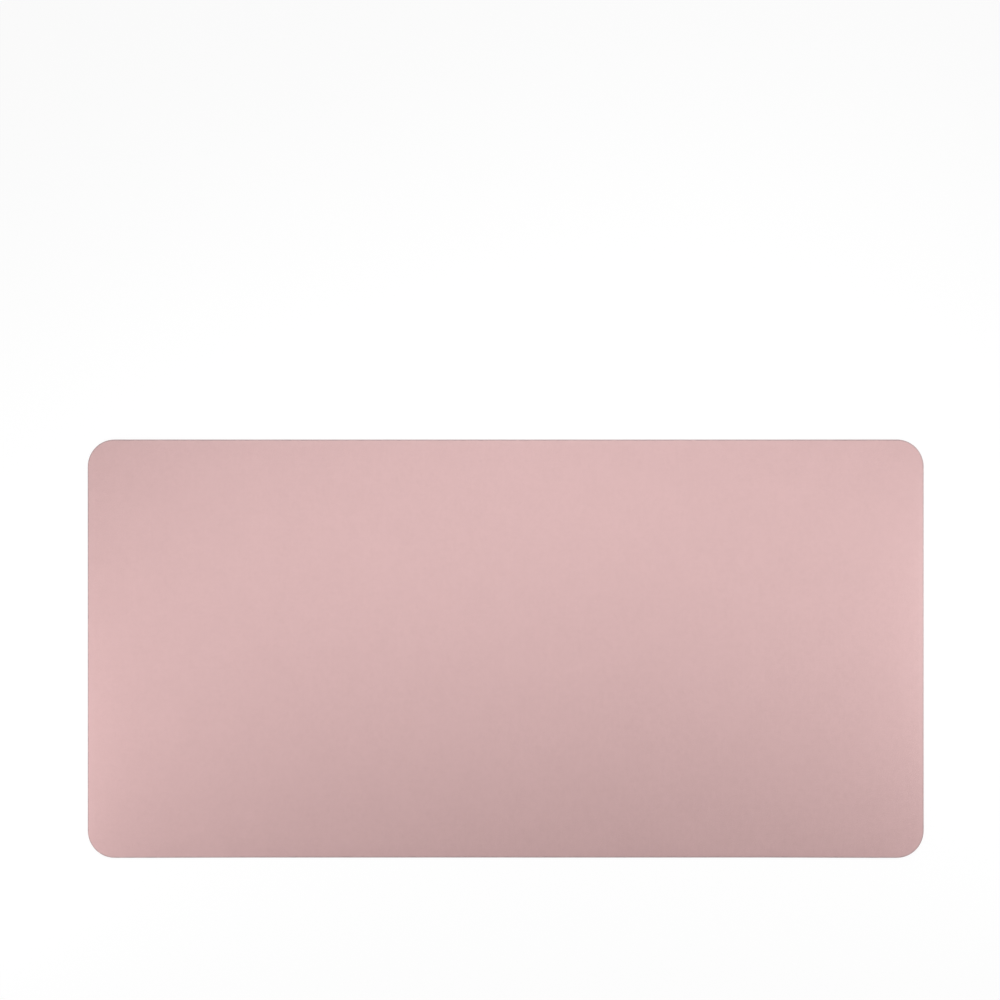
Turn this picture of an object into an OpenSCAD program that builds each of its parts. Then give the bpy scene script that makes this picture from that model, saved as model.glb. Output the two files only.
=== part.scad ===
// Desk mat: a synthetic leather top on a foam core and a suede base, bonded into one
// flexible slab that lies flat on a desk, with a bead of edge coat all round the cut edge.
//
// Frame: +Z up, +X along the long side, +Y away from the user. The origin is the middle
// of the underside. All sizes are in millimetres.

/* [Outline] */
// Width of the mat along its long side, over the edge coat
mat_w = 800; // [500:10:1200]
// Depth of the mat from front to back, over the edge coat
mat_d = 400; // [250:10:700]
// Radius of the four corners, over the edge coat
corner_r = 26; // [12:1:60]

/* [Leather top] */
// Thickness of the coloured film that carries the embossed grain
film_t = 0.20; // [0.15:0.05:0.4]
// Thickness of the expanded foam coat under the film
foam_coat_t = 0.25; // [0.15:0.05:0.5]
// Thickness of the knitted backing cloth that carries film and foam coat
backing_t = 0.35; // [0.2:0.05:0.6]

/* [Core and base] */
// Thickness of each of the two adhesive sheets
adhesive_t = 0.10; // [0.08:0.02:0.2]
// Thickness of the foam core
core_t = 0.50; // [0.3:0.1:2]
// Thickness of the suede base, nap included
suede_t = 0.50; // [0.3:0.05:0.8]

/* [Edge] */
// Radius of the shoulder along the film's upper edge and the suede's lower edge
shoulder_r = 0.12; // [0.05:0.01:0.12]
// How far the bead of edge coat stands out from the cut edge
coat_bulge = 0.40; // [0.2:0.05:0.8]
// Height of bare edge left under the bead, and of bare film above it
coat_setback = 0.13; // [0.12:0.01:0.15]

/* [Quality] */
// Facets in a full circle when OpenSCAD draws its own preview
preview_fn = 96; // [48:16:160]

/* [Hidden] */
$fn = preview_fn;

// Corner arcs are centred here, in the quarter with positive X and Y.
arc_x = mat_w / 2 - corner_r;
arc_y = mat_d / 2 - corner_r;

// The stack is cut to this radius, and the edge coat fills the rest.
cut_r = corner_r - coat_bulge;

// Heights of each sheet's underside, from the desk up.
suede_z = 0;
lower_adhesive_z = suede_z + suede_t;
core_z = lower_adhesive_z + adhesive_t;
upper_adhesive_z = core_z + core_t;
backing_z = upper_adhesive_z + adhesive_t;
foam_coat_z = backing_z + backing_t;
film_z = foam_coat_z + foam_coat_t;
mat_t = film_z + film_t;

// The edge coat's section is a circular segment with this height and this radius.
coat_h = mat_t - 2 * coat_setback;
coat_r = (coat_h * coat_h / 4 + coat_bulge * coat_bulge) / (2 * coat_bulge);

// The mat's outline in plan, with corner arcs of radius r on the shared arc centres.
module outline(r) {
    square([2 * arc_x, 2 * (arc_y + r)], center = true);
    square([2 * (arc_x + r), 2 * arc_y], center = true);
    for (x = [-arc_x, arc_x], y = [-arc_y, arc_y])
        translate([x, y]) circle(r);
}

// A plain sheet of thickness t, cut square through at radius r.
module sheet(z, t, r = cut_r) {
    translate([0, 0, z]) linear_extrude(t) outline(r);
}

// Sweeps a 2D profile once round the outline. The profile's X is the distance out from
// the line through the arc centres, and its Y is the height above the desk.
module sweep_round() {
    for (side = [0:3]) {
        across = side % 2 == 0;
        reach_x = across ? arc_x : arc_y;
        reach_y = across ? arc_y : arc_x;
        rotate([0, 0, 90 * side]) {
            translate([reach_x, reach_y, 0]) {
                rotate_extrude(angle = 90) children();
                rotate([90, 0, 0]) linear_extrude(2 * reach_y) children();
            }
        }
    }
}

// The outer strip of a sheet. Its outer edge has a shoulder on the upper side, or on the
// lower side where upper is false.
module shoulder_profile(z, t, upper) {
    square_z = upper ? z : z + shoulder_r;
    circle_z = upper ? z + t - shoulder_r : z + shoulder_r;
    strip = cut_r / 2;
    translate([cut_r - strip, z]) square([strip - shoulder_r, t]);
    translate([cut_r - strip, square_z]) square([strip, t - shoulder_r]);
    intersection() {
        translate([cut_r - shoulder_r, circle_z]) circle(shoulder_r);
        translate([cut_r - shoulder_r, z]) square([shoulder_r, t]);
    }
}

// A sheet whose outer edge is eased by a shoulder on one side.
module eased_sheet(z, t, upper) {
    sheet(z, t, cut_r - shoulder_r);
    sweep_round() shoulder_profile(z, t, upper);
}

// Coloured polyurethane film, the face that a hand and a mouse touch.
module grain_film() {
    color([0.85, 0.71, 0.71])
        eased_sheet(film_z, film_t, upper = true);
}

// Expanded polyurethane coat that gives the film its soft hand.
module foam_coat() {
    color([0.87, 0.77, 0.76]) sheet(foam_coat_z, foam_coat_t);
}

// Knitted polyester cloth on the back of the synthetic leather.
module backing_cloth() {
    color([0.93, 0.91, 0.88]) sheet(backing_z, backing_t);
}

// Hot-melt sheet that bonds the leather's backing cloth to the core.
module upper_adhesive() {
    color([0.90, 0.86, 0.74]) sheet(upper_adhesive_z, adhesive_t);
}

// Closed-cell foam that levels out the desk and keeps the mat flat.
module foam_core() {
    color([0.78, 0.78, 0.80]) sheet(core_z, core_t);
}

// Hot-melt sheet that bonds the suede to the core.
module lower_adhesive() {
    color([0.90, 0.86, 0.74]) sheet(lower_adhesive_z, adhesive_t);
}

// Microfibre suede that grips the desk.
module suede_base() {
    color([0.62, 0.60, 0.61])
        eased_sheet(suede_z, suede_t, upper = false);
}

// Bead of flexible coat that seals the cut edge of every sheet.
module edge_coat() {
    color([0.78, 0.68, 0.68])
        sweep_round()
            intersection() {
                translate([corner_r - coat_r, mat_t / 2]) circle(coat_r);
                translate([cut_r, 0]) square([2 * coat_bulge, mat_t]);
            }
}

grain_film();
foam_coat();
backing_cloth();
upper_adhesive();
foam_core();
lower_adhesive();
suede_base();
edge_coat();
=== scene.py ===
"""The looks of the desk mat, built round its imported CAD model.

The mat is a laminate of rounded sheets with a bead of coat round the cut edge. Each piece
becomes a closed mesh with the CAD piece's own faces. One function then lays all of them
down together: it thins them at the pressed rim and lifts them where the mat keeps a trace
of the roll that it was shipped in. It depends only on where a point is, so the sheets go
on touching each other without cutting through.
"""

import math

import bpy
import numpy as np
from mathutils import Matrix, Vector


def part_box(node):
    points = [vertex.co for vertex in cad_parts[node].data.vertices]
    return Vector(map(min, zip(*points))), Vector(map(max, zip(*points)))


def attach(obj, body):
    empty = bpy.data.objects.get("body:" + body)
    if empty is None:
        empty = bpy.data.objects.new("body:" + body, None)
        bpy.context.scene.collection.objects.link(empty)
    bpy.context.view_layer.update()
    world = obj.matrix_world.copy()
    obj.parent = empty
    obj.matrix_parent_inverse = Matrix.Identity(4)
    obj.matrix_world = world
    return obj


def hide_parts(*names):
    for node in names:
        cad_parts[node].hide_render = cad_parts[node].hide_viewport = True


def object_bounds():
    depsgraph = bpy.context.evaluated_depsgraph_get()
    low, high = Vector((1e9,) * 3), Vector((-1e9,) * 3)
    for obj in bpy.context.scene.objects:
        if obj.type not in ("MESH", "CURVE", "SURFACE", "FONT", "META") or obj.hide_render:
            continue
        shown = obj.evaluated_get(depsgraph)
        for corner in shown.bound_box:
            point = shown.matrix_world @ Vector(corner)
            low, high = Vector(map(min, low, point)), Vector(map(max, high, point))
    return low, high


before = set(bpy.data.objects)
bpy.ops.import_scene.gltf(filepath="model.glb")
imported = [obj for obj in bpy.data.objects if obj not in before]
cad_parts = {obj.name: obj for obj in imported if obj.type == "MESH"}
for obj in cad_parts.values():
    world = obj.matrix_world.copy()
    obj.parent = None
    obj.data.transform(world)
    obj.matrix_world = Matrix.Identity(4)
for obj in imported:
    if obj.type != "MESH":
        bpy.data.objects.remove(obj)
cad_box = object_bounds()

MM = 0.001

# The plan, read off the CAD model: the mat's box, and the rectangle of its corner-arc
# centres, which every sheet shares.
LOW, HIGH = cad_box
WIDTH, _, THICKNESS = HIGH - LOW
rim_points = [v.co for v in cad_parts["edge_coat"].data.vertices]
ARC_Y = max(p.y for p in rim_points if HIGH.x - p.x < 0.01 * MM)
CORNER_R = HIGH.y - ARC_Y
ARC_X = HIGH.x - CORNER_R

# How finely the pieces are meshed.
GRID_STEP = 8 * MM
COLUMNS = round(2 * ARC_X / GRID_STEP)
ROWS = round(2 * ARC_Y / GRID_STEP)
CORNER_STEPS = 14
STRIP_STEPS = 12
SHOULDER_STEPS = 5
BEAD_STEPS = 10
SUPPORT = 0.05 * MM  # a ring this near an edge keeps its shading from spreading inwards
SMOOTH_ANGLE = math.radians(40)  # sharper edges than this aren't shaded smooth

# The round on the film's upper edge and on the suede's lower edge.
SHOULDER = 0.12 * MM

# How the mat lies. The rim is pressed a little thinner. The mat was shipped rolled up
# along its length, so each end still dips to the desk from a low ridge.
RIM_WIDTH = 9 * MM
RIM_DROP = 0.14 * MM
DIP_SLOPE = 0.060
RIDGE_PLACE = 36 * MM  # in from the end
RIDGE_END = 170 * MM
CORNER_REACH = 60 * MM
CORNER_RISE = 0.25 * MM
WAVES = (  # height, wavelength, direction in degrees and phase of each faint wave
    (0.110 * MM, 310 * MM, 12, 0.4),
    (0.070 * MM, 190 * MM, 71, 2.1),
    (0.030 * MM, 120 * MM, 140, 4.4),
)

# The view: straight down, with the mat below the middle of a square picture.
LENS = 50.0  # the lens and the sensor are in millimetres
SENSOR = 36.0
VIEW_WIDTH = 1.1965 * WIDTH
VIEW_ASIDE = -0.0068 * WIDTH
VIEW_BEHIND = 0.1777 * WIDTH


def plan_loop():
    """Once round the plan: for each point, its anchor's column and row, and its heading.

    An anchor is a point of the inner grid, which spans the corner-arc centres, and a
    heading is the direction straight out from it.
    """
    sides = (
        [(column, 0) for column in range(COLUMNS + 1)],
        [(COLUMNS, row) for row in range(ROWS + 1)],
        [(column, ROWS) for column in reversed(range(COLUMNS + 1))],
        [(0, row) for row in reversed(range(ROWS + 1))],
    )
    loop = []
    for turn, anchors in enumerate(sides):
        heading = math.radians(90 * turn - 90)
        loop += [(*anchor, heading) for anchor in anchors]
        for step in range(1, CORNER_STEPS):
            loop.append((*anchors[-1], heading + math.radians(90 * step / CORNER_STEPS)))
    return loop


LOOP = plan_loop()


def grid_points(height):
    """The inner grid's points at one height, row by row."""
    xs = np.linspace(-ARC_X, ARC_X, COLUMNS + 1)
    ys = np.linspace(-ARC_Y, ARC_Y, ROWS + 1)
    return [(x, y, height) for y in ys for x in xs]


def ring_points(reach, height):
    """The points of a ring round the plan, a given reach out from the inner grid."""
    return [
        (
            -ARC_X + 2 * ARC_X * column / COLUMNS + reach * math.cos(heading),
            -ARC_Y + 2 * ARC_Y * row / ROWS + reach * math.sin(heading),
            height,
        )
        for column, row, heading in LOOP
    ]


def grid_faces(first, upward):
    """The inner grid's faces, where first is the index of its first point."""
    faces = []
    for row in range(ROWS):
        for column in range(COLUMNS):
            a = first + row * (COLUMNS + 1) + column
            b = a + COLUMNS + 1
            face = (a, a + 1, b + 1, b)
            faces.append(face if upward else face[::-1])
    return faces


def band_faces(inner, outer):
    """Faces between two loops of point indices, facing up where outer is further out."""
    faces = []
    for i in range(len(LOOP)):
        j = (i + 1) % len(LOOP)
        face = (inner[i], outer[i], outer[j], inner[j])
        faces.append(face if inner[i] != inner[j] else face[:3])
    return faces


def grid_rim(first):
    """The grid's point index at each place of the loop."""
    return [first + row * (COLUMNS + 1) + column for column, row, _ in LOOP]


def swept(profile, capped):
    """Points and faces of a profile of (reach, height) pairs, swept once round the plan.

    Where capped, the profile runs from the upper face round the edge to the lower face,
    and the inner grid closes both. Otherwise it is a closed outline of its own.
    """
    points, faces, rings = [], [], []
    if capped:
        points += grid_points(profile[0][1])
        rings.append(grid_rim(0))
        faces += grid_faces(0, upward=True)
    for reach, height in profile:
        rings.append(range(len(points), len(points) + len(LOOP)))
        points += ring_points(reach, height)
    if capped:
        rings.append(grid_rim(len(points)))
        faces += grid_faces(len(points), upward=False)
        points += grid_points(profile[-1][1])
    else:
        rings.append(rings[0])
    for inner, outer in zip(rings, rings[1:]):
        if capped and outer is rings[-1]:
            faces += [face[::-1] for face in band_faces(outer, inner)]
        else:
            faces += band_faces(inner, outer)
    return np.array(points), faces


def depth_inside(x, y):
    """How far points lie inside the mat's outline."""
    over_x = np.abs(x) - ARC_X
    over_y = np.abs(y) - ARC_Y
    beyond = np.hypot(np.maximum(over_x, 0), np.maximum(over_y, 0))
    return CORNER_R - beyond - np.minimum(np.maximum(over_x, over_y), 0)


def pressed(x, y):
    """From 0 away from the rim to 1 at the outline, how much the laminate is pressed."""
    return (1 - np.clip(depth_inside(x, y) / RIM_WIDTH, 0, 1)) ** 2


def lift(x, y):
    """How far the underside stands off the desk."""
    from_end = HIGH.x - np.abs(x)
    up = np.clip(from_end / RIDGE_PLACE, 0, 1)
    down = np.clip((from_end - RIDGE_PLACE) / (RIDGE_END - RIDGE_PLACE), 0, 1)
    ridge = (up + np.sin(math.pi * up) / math.pi) * (1 + np.cos(math.pi * down)) / 2
    from_corner = np.hypot(from_end, HIGH.y - np.abs(y))
    corner = np.clip(1 - from_corner / CORNER_REACH, 0, 1)
    height = DIP_SLOPE * RIDGE_PLACE / 2 * ridge + CORNER_RISE * corner**2
    for rise, length, degrees, phase in WAVES:
        along = x * math.cos(math.radians(degrees)) + y * math.sin(math.radians(degrees))
        height += rise * (1 + np.sin(2 * math.pi * along / length + phase)) / 2
    return height


def lay_down(points):
    """Where points of the plain laminate lie on the desk."""
    x, y, z = points.T
    thinner = 1 - RIM_DROP / THICKNESS * pressed(x, y)
    return np.column_stack([x, y, z * thinner + lift(x, y)])


def build(name, profile, material, capped=True):
    """Makes one piece in place of the CAD node of that name."""
    points, faces = swept(profile, capped)
    mesh = bpy.data.meshes.new(name)
    mesh.from_pydata(lay_down(points).tolist(), [], faces)
    mesh.validate()
    mesh.shade_smooth()
    mesh.set_sharp_from_angle(angle=SMOOTH_ANGLE)
    rim = mesh.attributes.new("pressed", "FLOAT", "POINT")
    rim.data.foreach_set("value", pressed(points[:, 0], points[:, 1]))
    mesh.materials.append(material)
    piece = bpy.data.objects.new(name + "_piece", mesh)
    bpy.context.scene.collection.objects.link(piece)
    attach(piece, "root")
    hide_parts(name)
    return piece


def strip_reaches(edge):
    """Reaches of the rings between the inner grid and an edge, closer towards the edge."""
    steps = np.arange(1, STRIP_STEPS + 1) / STRIP_STEPS
    return [edge * math.sin(math.pi / 2 * step) for step in steps]


def sheet_profile(node, upper_shoulder=0.0, lower_shoulder=0.0):
    """The profile of a sheet with square edges, or with round shoulders above or below."""
    low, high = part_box(node)
    edge = high.x - ARC_X
    profile = []
    for height, shoulder, side in ((high.z, upper_shoulder, 1), (low.z, lower_shoulder, -1)):
        flat_end = edge - shoulder
        half = [(reach, height) for reach in strip_reaches(flat_end - SUPPORT)]
        half.append((flat_end, height))
        if shoulder:
            for step in range(1, SHOULDER_STEPS + 1):
                turn = math.radians(90 * step / SHOULDER_STEPS)
                half.append((
                    flat_end + shoulder * math.sin(turn),
                    height - side * shoulder * (1 - math.cos(turn)),
                ))
        profile += half if side > 0 else half[::-1]
    return profile


def bead_profile(node):
    """The profile of the edge coat: a flat inner face and a round outer one."""
    low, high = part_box(node)
    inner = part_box("foam_core")[1].x - ARC_X
    bulge = high.x - ARC_X - inner
    half_height = (high.z - low.z) / 2
    radius = (half_height**2 + bulge**2) / (2 * bulge)
    spread = math.asin(half_height / radius)
    middle = (low.z + high.z) / 2
    centre = inner + bulge - radius
    turns = np.linspace(spread, -spread, BEAD_STEPS + 1)
    return [(centre + radius * math.cos(t), middle + radius * math.sin(t)) for t in turns]


# The sockets of a Mix node that is set to mix colours. Each kind of value has its own.
MIX_SHARE, MIX_FROM, MIX_TO = 0, 6, 7
MIX_RESULT = 2


class Finish:
    """A material's nodes, with short calls to add and join them."""

    def __init__(self, name):
        self.material = bpy.data.materials.new(name)
        self.material.use_nodes = True
        self.tree = self.material.node_tree
        self.shader = self.tree.nodes["Principled BSDF"]
        self.place = self.add("ShaderNodeTexCoord").outputs["Object"]

    def add(self, kind, inputs=None, **settings):
        """Adds a node with these settings, and values or outputs for its inputs."""
        node = self.tree.nodes.new(kind)
        for key, value in settings.items():
            setattr(node, key, value)
        for key, value in (inputs or {}).items():
            self.feed(node.inputs[key], value)
        return node

    def feed(self, socket, value):
        """Gives a socket a value, or joins it to another node's output."""
        if isinstance(value, bpy.types.NodeSocket):
            self.tree.links.new(value, socket)
        else:
            socket.default_value = value

    def set(self, **sockets):
        """Sets the shader's sockets, with underscores for the spaces in their names."""
        for key, value in sockets.items():
            self.feed(self.shader.inputs[key.replace("_", " ")], value)

    def noise(self, size, detail=2.0, roughness=0.5, place=None):
        """Cloudy noise whose blobs are about this size."""
        inputs = {"Vector": place or self.place, "Scale": 1 / size, "Detail": detail}
        inputs["Roughness"] = roughness
        return self.add("ShaderNodeTexNoise", inputs).outputs["Fac"]

    def warped(self, size, amount):
        """The object's coordinates, pushed about by noise of this size."""
        inputs = {"Vector": self.place, "Scale": 1 / size, "Detail": 1.0}
        noise = self.add("ShaderNodeTexNoise", inputs).outputs["Color"]
        centred = self.vector("SUBTRACT", noise, (0.5, 0.5, 0.5))
        pushed = self.vector("SCALE", centred, scale=amount)
        return self.vector("ADD", self.place, pushed)

    def vector(self, operation, a, b=None, scale=None):
        """Vector arithmetic on one or two inputs, or on one input and a scale."""
        node = self.add("ShaderNodeVectorMath", {0: a}, operation=operation)
        if b is not None:
            self.feed(node.inputs[1], b)
        if scale is not None:
            self.feed(node.inputs["Scale"], scale)
        return node.outputs[0]

    def bubbles(self, size):
        """Distances from the centres of round cells of about this size."""
        inputs = {"Vector": self.place, "Scale": 1 / size}
        return self.add("ShaderNodeTexVoronoi", inputs).outputs["Distance"]

    def creases(self, size, place):
        """How far a point is from the nearest crease between pebbles of about this size."""
        inputs = {"Vector": place, "Scale": 1 / size, "Randomness": 0.88}
        flat = {"feature": "DISTANCE_TO_EDGE", "voronoi_dimensions": "2D"}
        return self.add("ShaderNodeTexVoronoi", inputs, **flat).outputs["Distance"]

    def maths(self, operation, a, b=0.0):
        """Arithmetic on one or two numbers."""
        return self.add("ShaderNodeMath", {0: a, 1: b}, operation=operation).outputs[0]

    def ranged(self, value, low, high, to_low, to_high, smooth=False):
        """Maps low..high to to_low..to_high, and holds the ends."""
        kind = "SMOOTHSTEP" if smooth else "LINEAR"
        inputs = {"Value": value, "From Min": low, "From Max": high}
        inputs |= {"To Min": to_low, "To Max": to_high}
        return self.add("ShaderNodeMapRange", inputs, interpolation_type=kind).outputs[0]

    def mixed(self, share, a, b):
        """Mixes two colours."""
        inputs = {MIX_SHARE: share, MIX_FROM: a, MIX_TO: b}
        return self.add("ShaderNodeMix", inputs, data_type="RGBA").outputs[MIX_RESULT]

    def bump(self, height, distance, strength=1.0, under=None):
        """A normal from a height from 0 to 1, where 1 stands this distance proud."""
        inputs = {"Height": height, "Distance": distance, "Strength": strength}
        if under is not None:
            inputs["Normal"] = under
        return self.add("ShaderNodeBump", inputs).outputs[0]


def rgb(red, green, blue):
    """A linear colour that a socket takes."""
    return (red, green, blue, 1.0)


def leather_film():
    """Polyurethane film with a pebbled grain.

    Where the rim was pressed, the grain is flatter and shinier, and its colour is a little
    darker: painted shade. The creases and the last millimetre in from the outline are
    painted darker too: painted shade.
    """
    f = Finish("leather_film")
    away = f.creases(1.2 * MM, f.warped(0.85 * MM, 0.62 * MM))
    skin = f.noise(0.25 * MM, detail=3.0)
    swell = f.noise(5 * MM, detail=2.0)
    patches = f.noise(28 * MM, detail=3.0, roughness=0.55)
    clouds = f.noise(140 * MM, detail=2.0)
    rim = f.add("ShaderNodeAttribute", attribute_name="pressed").outputs["Fac"]

    away = f.maths("MULTIPLY", away, f.ranged(swell, 0.35, 0.65, 0.85, 1.45))
    wall = f.maths("POWER", f.ranged(away, 0.0, 0.34, 1.0, 0.0), 1.9)
    dome = f.ranged(away, 0.0, 0.55, 0.0, 0.60, smooth=True)
    depth = f.ranged(rim, 0.0, 1.0, 1.0, 0.4)
    crease = f.maths("MULTIPLY", wall, depth)
    # painted shade: the creases between the pebbles are painted darker than the pebble tops
    tone = f.mixed(crease, rgb(0.693, 0.457, 0.453), rgb(0.609, 0.389, 0.386))
    # painted shade: the last millimetre in from the outline is darkened unevenly towards
    # near-black
    painted_edge_shade = f.maths("MULTIPLY", f.ranged(rim, 0.70, 0.80, 0.0, 0.5), f.noise(3 * MM))
    tone = f.mixed(painted_edge_shade, tone, rgb(0.10, 0.10, 0.105))
    # random mottling in two sizes, times painted shade that darkens the pressed rim by up to
    # 4% towards the outline
    shade = f.ranged(patches, 0.3, 0.7, 0.992, 1.008)
    shade = f.maths("MULTIPLY", shade, f.ranged(clouds, 0.3, 0.7, 0.994, 1.006))
    shade = f.maths("MULTIPLY", shade, f.ranged(rim, 0.0, 1.0, 1.0, 0.96))

    grain = f.maths("MULTIPLY", f.maths("SUBTRACT", dome, wall), depth)
    fine = f.maths("MULTIPLY", skin, 0.08)
    height = f.maths("ADD", grain, f.maths("ADD", fine, f.maths("MULTIPLY", swell, 0.5)))
    matt = f.ranged(crease, 0.0, 1.0, 0.48, 0.70)
    matt = f.maths("ADD", matt, f.ranged(patches, 0.3, 0.7, -0.02, 0.02))
    matt = f.maths("SUBTRACT", matt, f.ranged(rim, 0.0, 1.0, 0.0, 0.10))
    f.set(Base_Color=f.vector("SCALE", tone, scale=shade), Roughness=matt)
    f.set(Specular_IOR_Level=0.42, Normal=f.bump(height, 0.070 * MM))
    return f.material


def edge_coat():
    """Flexible coat brushed on the cut edge, a little greyer than the film."""
    f = Finish("edge_coat")
    flow = f.noise(6 * MM, detail=2.0)
    pits = f.noise(0.5 * MM, detail=2.0)
    f.set(Base_Color=f.mixed(flow, rgb(0.40, 0.305, 0.302), rgb(0.45, 0.345, 0.342)))
    f.set(Roughness=f.ranged(flow, 0.3, 0.7, 0.36, 0.46))
    height = f.maths("ADD", f.maths("MULTIPLY", flow, 0.8), f.maths("MULTIPLY", pits, 0.2))
    f.set(Normal=f.bump(height, 0.06 * MM, 0.6))
    return f.material


def leather_foam():
    """Expanded polyurethane coat under the film."""
    f = Finish("leather_foam")
    bubbles = f.bubbles(0.25 * MM)
    f.set(Base_Color=f.mixed(bubbles, rgb(0.74, 0.56, 0.55), rgb(0.66, 0.49, 0.48)))
    f.set(Roughness=f.ranged(bubbles, 0.0, 1.0, 0.75, 0.9))
    f.set(Normal=f.bump(bubbles, 0.03 * MM, 0.6))
    return f.material


def backing_knit():
    """Off-white knit: rows of loops along X and along Y."""
    f = Finish("backing_knit")
    period = 0.314  # of a wave texture whose scale is 1
    waves = []
    for axis, pitch in (("X", 0.9 * MM), ("Y", 0.7 * MM)):
        inputs = {"Vector": f.warped(5 * MM, 0.15 * MM), "Scale": period / pitch}
        wave = f.add("ShaderNodeTexWave", inputs, bands_direction=axis)
        waves.append(wave.outputs["Fac"])
    loops = f.maths("MULTIPLY", *waves)
    # painted shade: the hollows between the loops are painted darker than the loop tops
    f.set(Base_Color=f.mixed(loops, rgb(0.70, 0.67, 0.62), rgb(0.86, 0.83, 0.79)))
    f.set(Roughness=f.ranged(loops, 0.0, 1.0, 0.95, 0.85), Sheen_Weight=0.2)
    f.set(Normal=f.bump(loops, 0.12 * MM, 0.8))
    return f.material


def adhesive():
    """Hot-melt sheet, amber and a little uneven."""
    f = Finish("adhesive")
    flow = f.noise(9 * MM, detail=3.0)
    f.set(Base_Color=f.mixed(flow, rgb(0.74, 0.66, 0.48), rgb(0.84, 0.79, 0.64)))
    f.set(Roughness=f.ranged(flow, 0.3, 0.7, 0.25, 0.40))
    f.set(Normal=f.bump(flow, 0.05 * MM, 0.5))
    return f.material


def core_foam():
    """Light grey closed-cell foam."""
    f = Finish("core_foam")
    bubbles = f.bubbles(0.4 * MM)
    f.set(Base_Color=f.mixed(bubbles, rgb(0.62, 0.62, 0.64), rgb(0.50, 0.50, 0.52)))
    f.set(Roughness=f.ranged(bubbles, 0.0, 1.0, 0.8, 0.95))
    f.set(Normal=f.bump(bubbles, 0.06 * MM, 0.7))
    return f.material


def suede():
    """Microfibre suede: short fibres that lie over one way, then another."""
    f = Finish("suede")
    nap = f.noise(18 * MM, detail=4.0, roughness=0.62)
    # painted sheen: patches where the nap lies one way or the other are painted lighter or
    # darker
    painted_nap_sheen = f.ranged(nap, 0.42, 0.58, 0.0, 1.0, smooth=True)
    combed = f.vector("MULTIPLY", f.warped(7 * MM, 4 * MM), (1.0, 0.25, 1.0))
    fibres = f.noise(0.22 * MM, detail=3.0, roughness=0.7, place=combed)
    tufts = f.noise(1.1 * MM, detail=2.0, place=combed)
    base = f.mixed(painted_nap_sheen, rgb(0.265, 0.250, 0.256), rgb(0.350, 0.333, 0.339))
    # painted shade and light: the fibre roots are painted darker and the lit fibre tips
    # lighter
    root = f.vector("SCALE", base, scale=0.62)
    lit = f.ranged(fibres, 0.3, 0.7, 0.2, 1.0)
    lit = f.maths("MULTIPLY", lit, f.ranged(tufts, 0.3, 0.7, 0.4, 1.0))
    f.set(Base_Color=f.mixed(lit, root, rgb(0.50, 0.48, 0.485)))
    f.set(Roughness=f.ranged(fibres, 0.3, 0.7, 0.98, 0.86))
    f.set(Sheen_Weight=0.35, Sheen_Roughness=0.5, Specular_IOR_Level=0.2)
    height = f.maths("ADD", f.maths("MULTIPLY", fibres, 0.5), f.maths("MULTIPLY", tufts, 0.5))
    f.set(Normal=f.bump(height, 0.35 * MM))
    return f.material


def sheet_piece(node, material, rests_on=(), **shoulders):
    piece = build(node, sheet_profile(node, **shoulders), material)


def mat():
    """All the pieces, from the suede up."""
    glue = adhesive()
    sheet_piece("suede_base", suede(), lower_shoulder=SHOULDER)
    sheet_piece("lower_adhesive", glue, ["suede_base"])
    sheet_piece("foam_core", core_foam(), ["lower_adhesive"])
    sheet_piece("upper_adhesive", glue, ["foam_core"])
    sheet_piece("backing_cloth", backing_knit(), ["upper_adhesive"])
    sheet_piece("foam_coat", leather_foam(), ["backing_cloth"])
    sheet_piece("grain_film", leather_film(), ["foam_coat"], upper_shoulder=SHOULDER)
    build("edge_coat", bead_profile("edge_coat"), edge_coat(), capped=False)


# The studio. Each light has a place, a width and height, a power in watts, and whether
# glossy surfaces mirror it. The lengths are in mat widths, and the places are measured
# from the middle of the mat's underside.
FLOOR_SIZE = 60.0  # metres
FLOOR_GAP = 0.02 * MM
LIGHTS = {
    "top_softbox": ((-0.05, 0.20, 0.50), (1.2, 0.7), 2.6, True),
    "left_softbox": ((-0.85, -0.18, 0.25), (0.3, 0.3), 1.2, False),
    "right_softbox": ((0.9, 0.0, 0.40), (0.3, 0.4), 1.8, True),
}
DOME_OVERHEAD = 0.05
DOME_HORIZON = 0.946
DOME_FADE = (0.36, 0.45)  # the heights on a unit dome between which it dims
FLOOR_GREY = 0.08
FLOOR_GLOW = 0.93


def light(name, place, size, power, glossy):
    """A soft rectangular light that faces the middle of the mat."""
    lamp = bpy.data.lights.new(name, "AREA")
    lamp.shape = "RECTANGLE"
    lamp.size, lamp.size_y = (side * WIDTH for side in size)
    lamp.energy = power
    thing = bpy.data.objects.new(name, lamp)
    thing.location = Vector(place) * WIDTH
    thing.rotation_euler = (-thing.location).to_track_quat("-Z", "Y").to_euler()
    thing.visible_camera = False
    thing.visible_glossy = glossy
    bpy.context.scene.collection.objects.link(thing)


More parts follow.
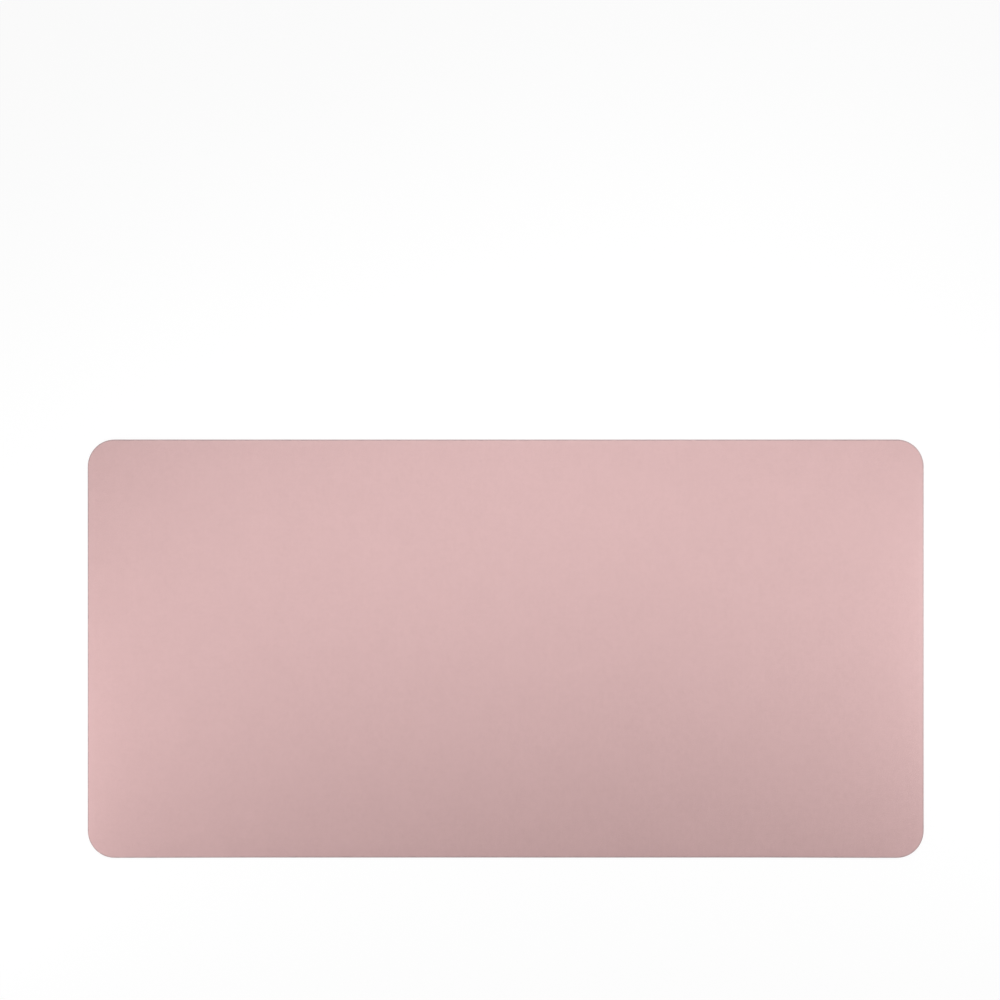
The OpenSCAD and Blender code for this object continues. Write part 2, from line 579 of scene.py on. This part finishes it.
def floor():
    """A plain white table top with a glow of its own, which runs on past the horizon."""
    half = FLOOR_SIZE / 2
    mesh = bpy.data.meshes.new("floor")
    corners = [(-half, -half), (half, -half), (half, half), (-half, half)]
    mesh.from_pydata([(x, y, -FLOOR_GAP) for x, y in corners], [], [(0, 1, 2, 3)])
    material = bpy.data.materials.new("floor")
    material.use_nodes = True
    shader = material.node_tree.nodes["Principled BSDF"]
    shader.inputs["Base Color"].default_value = rgb(FLOOR_GREY, FLOOR_GREY, FLOOR_GREY)
    shader.inputs["Roughness"].default_value = 1.0
    shader.inputs["Specular IOR Level"].default_value = 0.0
    shader.inputs["Emission Color"].default_value = rgb(1.0, 1.0, 1.0)
    shader.inputs["Emission Strength"].default_value = FLOOR_GLOW
    mesh.materials.append(material)
    thing = bpy.data.objects.new("floor", mesh)
    bpy.context.scene.collection.objects.link(thing)


def dome():
    """White surroundings, dimmer overhead than at the horizon."""
    world = bpy.data.worlds.new("dome")
    bpy.context.scene.world = world
    world.use_nodes = True
    tree = world.node_tree
    direction = tree.nodes.new("ShaderNodeTexCoord").outputs["Generated"]
    split = tree.nodes.new("ShaderNodeSeparateXYZ")
    tree.links.new(direction, split.inputs[0])
    fade = tree.nodes.new("ShaderNodeMapRange")
    fade.interpolation_type = "SMOOTHSTEP"
    values = dict(zip(("From Min", "From Max"), DOME_FADE))
    values |= {"To Min": DOME_HORIZON, "To Max": DOME_OVERHEAD}
    for key, value in values.items():
        fade.inputs[key].default_value = value
    tree.links.new(split.outputs["Z"], fade.inputs["Value"])
    tree.links.new(fade.outputs[0], tree.nodes["Background"].inputs["Strength"])
    tree.nodes["Background"].inputs["Color"].default_value = rgb(1.0, 1.0, 1.0)


def camera():
    """Looks straight down, with the mat's back edge towards the top of the picture."""
    data = bpy.data.cameras.new("camera")
    data.lens, data.sensor_width = LENS, SENSOR
    thing = bpy.data.objects.new("camera", data)
    middle = (LOW + HIGH) / 2
    distance = VIEW_WIDTH / SENSOR * LENS
    thing.location = middle + Vector((VIEW_ASIDE, VIEW_BEHIND, distance))
    bpy.context.scene.collection.objects.link(thing)
    bpy.context.scene.camera = thing


camera()
mat()
floor()
dome()
for light_name, settings in LIGHTS.items():
    light(light_name, *settings)
bpy.context.scene.view_settings.view_transform = "Standard"
